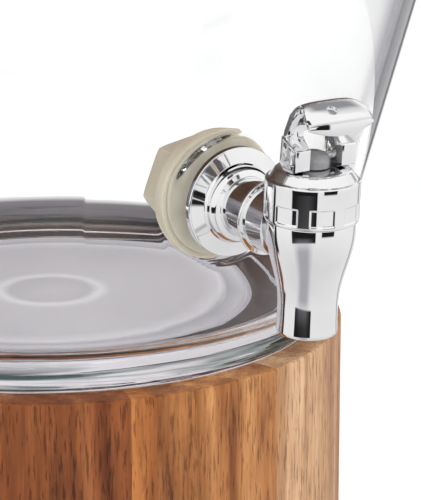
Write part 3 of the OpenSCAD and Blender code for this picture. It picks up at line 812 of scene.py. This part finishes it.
def make_branch(material):
    """A turned tube whose inner end lies in the body, with a thin ring at its mouth, clear of the bonnet."""
    reach = VALVE_REACH - NECK_END
    inner, end = SOCKET_R + 0.05, -CHAMBER_R - BRANCH_OVERLAP
    corners = [(inner, -reach, 0.1), (RING_LIP_R, -reach, 0.5), (RING_LIP_R, -reach + RING_LIP_T, 0.5),
               (BRANCH_R, -reach + RING_LIP_T, 0.25), (BRANCH_R, end, 0), (inner, end, 0)]
    tube = turned("branch_plated", corners, material, "jar", ALONG_BRANCH, 160, 5, 50)
    combine(tube, drum(BONNET_R + BONNET_GAP, BONNET_LOW - 0.1, BONNET_RIM + 6, AT_VALVE, 160))
    return tube


def make_tap_body(material):
    ledge = BONNET_LOW - BONNET_GAP
    heights = [BLEND_TOP + (BLEND_LOW - BLEND_TOP) * i / BLEND_ROWS for i in range(BLEND_ROWS + 1)]
    top = [(CHAMBER_R, SPIGOT_TOP, 0.2), (SPIGOT_R, SPIGOT_TOP, 0.3), (SPIGOT_R, ledge, 0),
           (SHOULDER_R, ledge, 0.35)]
    outlet = [(WAIST_R, -OUTLET_DROP + 5, 0), (WAIST_R + 0.2, -OUTLET_DROP + 1.2, 0.8),
              (WAIST_R - 0.2, -OUTLET_DROP, 0.9), (OUTLET_BORE, -OUTLET_DROP, 0.5),
              (OUTLET_BORE, THROAT_LOW - 1.7, 0.3)]
    inside = [(THROAT_R, THROAT_LOW, 0.3), (THROAT_R, SEAT_LOW, 0.3), (CHAMBER_R, SEAT_TOP, 0.5)]
    corners = top + [(body_r(z), z, 0) for z in heights] + outlet + inside
    body = turned("body_plated", corners, material, "jar", AT_VALVE, 160, 5, 50)
    combine(body, make_branch(material), "UNION")
    combine(body, drum(BORE_R, -VALVE_REACH, -2, ALONG_BRANCH, 96))
    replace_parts(body, "tap_body")


# ---------------------------------------------------------------- bonnet and stem
FLAT_COUNT, FLAT_WIDE, FLAT_FROM, FLAT_DEPTH, FLAT_H = 8, math.radians(31), math.radians(6), 0.5, 6.2
FLAT_EASE, FLAT_EASE_TURN = 0.45, 0.028
STEM_R, STEM_GAP, HEAD_R, HEAD_H, HEAD_GAP, STEM_LOW = 3.5, 0.08, 5.6, 5.6, 0.2, -10
FLAT_LOW = BONNET_LOW + 1
DOME_TOP = BONNET_RIM + DOME_H


def in_flat(angle, height):
    """How far inside a grip flat a point of the bonnet's side is, from 0 to 1."""
    pitch = TURN / FLAT_COUNT
    half = FLAT_WIDE / 2
    off = abs((angle - FLAT_FROM - half + pitch / 2) % pitch - pitch / 2)
    across = 1 - smoothstep((half - FLAT_EASE_TURN) * BONNET_R, half * BONNET_R, off * BONNET_R)
    along = 1 - smoothstep(FLAT_H / 2 - FLAT_EASE, FLAT_H / 2, abs(height - FLAT_LOW - FLAT_H / 2))
    return across * along


def bonnet_r(angle, radius, height):
    """The bonnet's radius, with the grip flats sunk into its side."""
    if abs(radius - BONNET_R) < 1e-3:
        return radius - FLAT_DEPTH * in_flat(angle, height)
    return radius


def make_bonnet(material):
    side = [(BONNET_R, FLAT_LOW - 0.2 + (FLAT_H + 0.4) * i / 40, 0) for i in range(41)]
    bore, cavity, hole = SPIGOT_R + 0.1, CHAMBER_R - 1.3, STEM_R + STEM_GAP
    roof = BONNET_RIM - 1.5
    dome = [(BONNET_R, BONNET_RIM - 2, 0), (BONNET_R, BONNET_RIM, 0.7),
            (BONNET_R - 1.2, BONNET_RIM + 0.3, 1.0), (DOME_FLAT_R, DOME_TOP - 0.2, 2.0),
            (DOME_FLAT_R - 3.0, DOME_TOP, 1.2)]
    inside = [(hole, DOME_TOP, 0.3), (hole, roof, 0.2), (cavity, roof, 0.4), (cavity, SPIGOT_TOP + 1.5, 0.1),
              (bore, SPIGOT_TOP + 1.5, 0.1)]
    corners = [(bore, BONNET_LOW, 0.15), (BONNET_R - 0.1, BONNET_LOW, 0.35), *side, *dome, *inside]
    bm = bmesh.new()
    skin(bm, [ring(bm, lambda a, r=radius, h=height: bonnet_r(a, r, h), height, 512)
              for radius, height in rounded(corners)])
    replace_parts(dress(mesh_object("bonnet_plated", bm, AT_VALVE), material, "jar", 50), "bonnet")


def make_stem(material):
    low = DOME_TOP + HEAD_GAP
    top = low + HEAD_H
    corners = [(0, STEM_LOW, 0), (STEM_R, STEM_LOW, 0.4), (STEM_R, low, 0.2), (HEAD_R, low, 0.4),
               (HEAD_R, top - 2.8, 1.5), (HEAD_R - 1.2, top - 0.9, 2.0), (HEAD_R - 3.6, top - 0.05, 2.0),
               (0, top, 0)]
    stem = turned("stem_plastic", corners, material, "stem", AT_VALVE, smooth=50)
    combine(stem, drum(PIN_R + PIN_GAP, -LEVER_W / 2, LEVER_W / 2, ALONG_PIN))
    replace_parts(stem, "stem")


# ---------------------------------------------------------------- lever and pin
LEVER_W, CHEEK_T, PADDLE_W, CREST_W, PADDLE_REACH, PADDLE_T = 24.5, 5.6, 26.4, 20, 16.8, 2.3
PIN_R, PIN_GAP, POCKET_T, WEB_T, WEB_LAP, RIM_IN, LEVER_EASE = 1.5, 0.05, 1.5, 2.6, 0.4, 1.4, 0.45
CREST_Z = PIN_Z + 21.5
CAM_K, PIN_H, LEVER_TURN = 4, 3, math.radians(40)
# The plate's form across its width: how much its edges and its crown fall, and how they thin and draw in.
EDGE_FALL, CROWN_FALL, EDGE_THIN, UNDER_IN, FRONT_BOW, BOW_FROM = 0.7, 0.35, 0.25, 0.03, 0.07, 8
LIP_LOW, LIP_EDGE, LIP_MORE, LIP_SWEEP, LIP_WIDE = 0.75, 1.5, 3.2, 2.2, 0.985
DIMPLE_R, DIMPLE_TILT = 1.9, 0.42
PLATE_ROWS, PLATE_COLUMNS = 36, 24


def make_pin(material):
    half = LEVER_W / 2 - POCKET_T
    corners = [(0, -half, 0), (PIN_R, -half, 0.25), (PIN_R, half, 0.25), (0, half, 0)]
    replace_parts(turned("pin_turned", corners, material, "lever", ALONG_PIN, 64), "lever_pin")


def spline(points, count):
    """A smooth curve through (x, y) points, sampled evenly in its parameter."""
    out = []
    last = len(points) - 1
    for i in range(count + 1):
        t = i / count * last
        k = min(int(t), last - 1)
        f = t - k
        p0 = Vector(points[max(k - 1, 0)])
        p1, p2 = Vector(points[k]), Vector(points[k + 1])
        p3 = Vector(points[min(k + 2, last)])
        out.append(0.5 * ((2 * p1) + (p2 - p0) * f + (2 * p0 - 5 * p1 + 4 * p2 - p3) * f * f
                          + (3 * p1 - p0 - 3 * p2 + p3) * f ** 3))
    return out


def plate_row(bm, p, normal):
    """The plate's upper and lower vertices across one point of its middle line."""
    reach = smoothstep(-3, PADDLE_REACH, p.x)
    half = CREST_W * 0.5 + (PADDLE_W - CREST_W) * 0.5 * smoothstep(4, PADDLE_REACH - 1.5, p.x)
    top, low = [], []
    for k in range(PLATE_COLUMNS + 1):
        v = -1 + 2 * k / PLATE_COLUMNS
        edge = abs(v) ** 6
        bow = 1 - FRONT_BOW * smoothstep(BOW_FROM, PADDLE_REACH, p.x) * v * v
        fall = (EDGE_FALL * edge + CROWN_FALL * v * v) * (0.6 + 0.4 * reach)
        above = Vector((p.x * (bow if p.x > BOW_FROM else 1), p.y)) - normal * fall
        below = above - normal * PADDLE_T * (1 - EDGE_THIN * edge)
        top.append(bm.verts.new((half * v, -above.x, above.y)))
        low.append(bm.verts.new((half * v * (1 - UNDER_IN), -below.x, below.y)))
    return top, low


def make_paddle():
    """The lever's top: a crowned plate that arches over the stem. Gives its front edge as well."""
    line = spline([(-2.9, CREST_Z - 11.5), (-2.1, CREST_Z - 7.2), (0.4, CREST_Z - 3.2), (3.6, CREST_Z - 0.8),
                   (7.0, CREST_Z), (10.6, CREST_Z - 1.3), (13.8, CREST_Z - 3.1), (16.0, CREST_Z - 4.6)],
                  PLATE_ROWS)
    bm = bmesh.new()
    top, low = [], []
    for i, p in enumerate(line):
        along = (line[min(i + 1, PLATE_ROWS)] - line[max(i - 1, 0)]).normalized()
        row_top, row_low = plate_row(bm, p, Vector((-along.y, along.x)))
        top.append(row_top)
        low.append(row_low)
    for i in range(PLATE_ROWS):
        for k in range(PLATE_COLUMNS):
            bm.faces.new((top[i][k], top[i][k + 1], top[i + 1][k + 1], top[i + 1][k]))
            bm.faces.new((low[i][k], low[i + 1][k], low[i + 1][k + 1], low[i][k + 1]))
        bm.faces.new((top[i][0], top[i + 1][0], low[i + 1][0], low[i][0]))
        bm.faces.new((top[i][-1], low[i][-1], low[i + 1][-1], top[i + 1][-1]))
    for k in range(PLATE_COLUMNS):
        bm.faces.new((top[0][k], low[0][k], low[0][k + 1], top[0][k + 1]))
        bm.faces.new((top[-1][k], top[-1][k + 1], low[-1][k + 1], low[-1][k]))
    return bm, [v.co.copy() for v in top[-1]]


def make_lip(edge):
    """The turned-down front of the plate, deepest in the middle, with a fold line above it."""
    bm = bmesh.new()
    rows = []
    for k, point in enumerate(edge):
        v = 2 * k / (len(edge) - 1) - 1
        drop = LIP_EDGE + LIP_MORE * (1 - abs(v) ** LIP_SWEEP)
        # The section: (outwards, down).
        section = [(-1.3, 0.1), (0, 0), (0.45, 0.2), (0.7, 0.35 * drop), (0.6, 0.7 * drop),
                   (0.25, drop - 0.15), (-0.2, drop), (-0.6, drop - 0.3), (-0.9, 0.5 * drop),
                   (-1.3, 0.3 * drop)]
        rows.append([bm.verts.new((point.x * LIP_WIDE, point.y - out, point.z - LIP_LOW - down))
                     for out, down in section])
    loft(bm, rows)
    return bm


def cam_point(a):
    """The cheek's involute corner, as (outwards, up), at an angle of the lever's turn."""
    h = PIN_H + CAM_K * a
    return h * math.sin(a) + CAM_K * math.cos(a), PIN_Z - h * math.cos(a) + CAM_K * math.sin(a)


def slab(outline, low, high):
    """An upright plate between two X values, from an outline of (outwards, up)."""
    bm = bmesh.new()
    loft(bm, [[bm.verts.new((x, -n, z)) for n, z in outline] for x in (low, high)])
    return mesh_object("slab", bm)


def cheek_parts():
    """One cheek: a thin web, a raised rim along its back and a thick lug at the cam, with their X values."""
    cam = [cam_point(LEVER_TURN * i / 10) for i in range(11)]
    inner, outer = LEVER_W / 2 - CHEEK_T, LEVER_W / 2
    low = PIN_Z - PIN_H
    web = rounded(
        [(-2.4, PIN_Z + 9.5, 1), (-3.2, PIN_Z + 7, 2), (-3.2, PIN_Z - 0.5, 1), (-0.5, low, 0.5)]
        + [(n, z, 0) for n, z in cam]
        + [(6.9, PIN_Z + 5, 1), (2.6, PIN_Z + 8.4, 3), (2.6, PIN_Z + 13, 3), (8.0, CREST_Z - 4.5, 1.5),
           (8.0, CREST_Z - 1.3, 2), (3.8, CREST_Z - 1.8, 2), (0.2, CREST_Z - 5.2, 3)], 5)
    rim = rounded(
        [(-3.3, PIN_Z + 6.4, 0.4), (-2.5, PIN_Z + 10.2, 3), (0.4, CREST_Z - 5.0, 3), (3.8, CREST_Z - 2.0, 3),
         (7.6, CREST_Z - 1.6, 1), (7.4, CREST_Z - 3.2, 0.6), (4.6, CREST_Z - 4.2, 2.5),
         (2.0, CREST_Z - 7.2, 3), (-0.6, PIN_Z + 9.4, 3), (-1.2, PIN_Z + 6.2, 0.6)], 5)
    # The lug stands a hair proud of the web, so that the two join cleanly.
    lug = rounded(
        [(-1.9, PIN_Z + 9.2, 0.7), (-2.6, PIN_Z - 0.4, 0.8), (-0.6, low - 0.02, 0.6)]
        + [(n + 0.02, z, 0) for n, z in cam] + [(7.0, PIN_Z + 5.2, 0.8)], 5)
    return [(web, inner, inner + WEB_T), (rim, inner + WEB_T - WEB_LAP, outer - RIM_IN),
            (lug, inner - 0.01, outer)]


def add_cheeks(lever):
    """Joins both cheeks to the plate and sinks the pin's pocket into each."""
    pocket = rounded([(-0.9, PIN_Z + 7.2, 0.5), (-1.3, PIN_Z - 0.1, 0.5), (0.6, PIN_Z - 1.6, 0.5),
                      (5.4, PIN_Z - 1.6, 0.5), (5.4, PIN_Z + 4.3, 0.5)], 4)
    for side in (-1, 1):
        for outline, low, high in cheek_parts():
            combine(lever, slab(outline, side * low, side * high), "UNION")
        combine(lever, slab(pocket, side * (LEVER_W / 2 - POCKET_T), side * (LEVER_W / 2 + 1)))


def soften(piece, width):
    """Rounds a piece's edges."""
    bevel = piece.modifiers.new("soften", "BEVEL")
    bevel.width = width
    bevel.segments = 3
    bevel.limit_method = "ANGLE"
    bevel.angle_limit = math.radians(32)
    bevel.use_clamp_overlap = True
    settle(piece)


def make_lever(material):
    """Plate, cheeks, dimple and pin hole, softened before the lip is joined, and then taken to the valve."""
    plate, edge = make_paddle()
    lever = mesh_object("lever_plated", plate)
    add_cheeks(lever)
    dimple = Matrix.Translation((-2.2, -11.7, CREST_Z - 2.55)) @ Matrix.Rotation(DIMPLE_TILT, 4, "X")
    combine(lever, drum(DIMPLE_R, 0, 3, dimple, 48))
    through = Matrix.Translation((0, 0, PIN_Z)) @ Matrix.Rotation(math.pi / 2, 4, "Y")
    combine(lever, drum(PIN_R, -20, 20, through))
    soften(lever, LEVER_EASE)
    combine(lever, mesh_object("lip", make_lip(edge)), "UNION")
    lever.data.transform(AT_VALVE)
    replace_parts(dress(lever, material, "lever", 38), "lever")


# ---------------------------------------------------------------- lid
LID_T, LID_OVER, PLUG_H, PLUG_IN, SEAL_H, GROOVE_T, KNOB_R, KNOB_H = 14, 3, 9, 4, 4, 2, 19, 26
SCREW_HOLE_R, SCREW_HEAD_R, SCREW_HEAD_T, PILOT_R, PILOT_DEEP = 2.5, 5.2, 3, 2.2, 0.6


def make_lid(board, dark):
    place = level(RING_TOP + JAR_H * MM)
    edge = wall_r(JAR_H) + LID_OVER
    seal_low, seal_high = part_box("lid_seal")
    plug = seal_high.x / MM - PLUG_IN
    groove, low = plug - GROOVE_T, (seal_low.z - RING_TOP) / MM - JAR_H
    lid = turned("lid_wood", [(0, LID_T, 0), (edge, LID_T, 3), (edge, 0, 1.5), (plug, 0, 0.3),
                              (plug, low + SEAL_H, 0.2), (groove, low + SEAL_H, 0), (groove, low, 0),
                              (plug, low, 0.2), (plug, -PLUG_H, 0.8), (0, -PLUG_H, 0)],
                 board, "lid", place, 256)
    combine(lid, drum(SCREW_HOLE_R, -PLUG_H - 1, LID_T + 1, place, 48))
    combine(lid, drum(SCREW_HEAD_R, -PLUG_H - 1, -PLUG_H + SCREW_HEAD_T, place))
    on_lid = place @ Matrix.Translation((0, 0, LID_T))
    knob = turned("knob_wood", [(0, 0, 0), (KNOB_R * 0.55, 0, 0.5), (KNOB_R * 0.5, 3, 1),
                                (KNOB_R * 0.55, KNOB_H * 0.36, 6), (KNOB_R * 0.98, KNOB_H * 0.5, 4),
                                (KNOB_R, KNOB_H * 0.74, 5), (KNOB_R * 0.72, KNOB_H * 0.96, 8),
                                (0, KNOB_H, 0)],
                  dark, "lid", on_lid, 128, 10)
    combine(knob, drum(PILOT_R, -1, KNOB_H * PILOT_DEEP, on_lid, 48))
    for piece, node in ((lid, "lid_board"), (knob, "lid_knob")):
        piece.visible_glossy = False
        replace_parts(piece, node)


# ---------------------------------------------------------------- build
bpy.context.scene.view_settings.view_transform = "Standard"
make_camera()
make_world()
make_floor()
make_light("key", (-1.2, -1.6, 1.9), (0, 0, 0.2), (1.6, 1.2), 31)
make_light("fill", (1.6, -0.6, 1.2), (0, 0, 0.2), (1.2, 1.2), 12)

plated = chrome()
silicone = cloudy_plastic("silicone", 120.0, (0.52, 0.48, 0.39), (0.62, 0.58, 0.49), 0.4, 0.55, 0.002)
grey_plastic = cloudy_plastic("grey_plastic", 300.0, (0.26, 0.26, 0.27), (0.36, 0.36, 0.37), 0.14, 0.25,
                              0.003)
steel = pin_steel()
make_ring()
make_foot(foot_rubber())
make_jar(clear_glass(), frosted_glass())
make_shank(plated)
make_nut(nylon())
make_tap_body(plated)
make_bonnet(plated)
make_stem(grey_plastic)
make_pin(steel)
make_lever(plated)
lid_tone = [(0.24, 0.11, 0.055), (0.40, 0.20, 0.10), (0.55, 0.31, 0.17)]
make_lid(wood("lid_board", *lid_tone, seed=40, lying=True), wood("lid_knob", *lid_tone, seed=50))

# These CAD nodes keep their own shape.
kept_nodes = {
    "outer_washer": silicone,
    "inner_washer": silicone,
    "seat_cup": silicone,
    "lid_seal": silicone,
    "knob_screw": steel,
}
for name, material in kept_nodes.items():
    node = frame["nodes"][name]
    node.data.materials.clear()
    node.data.materials.append(material)
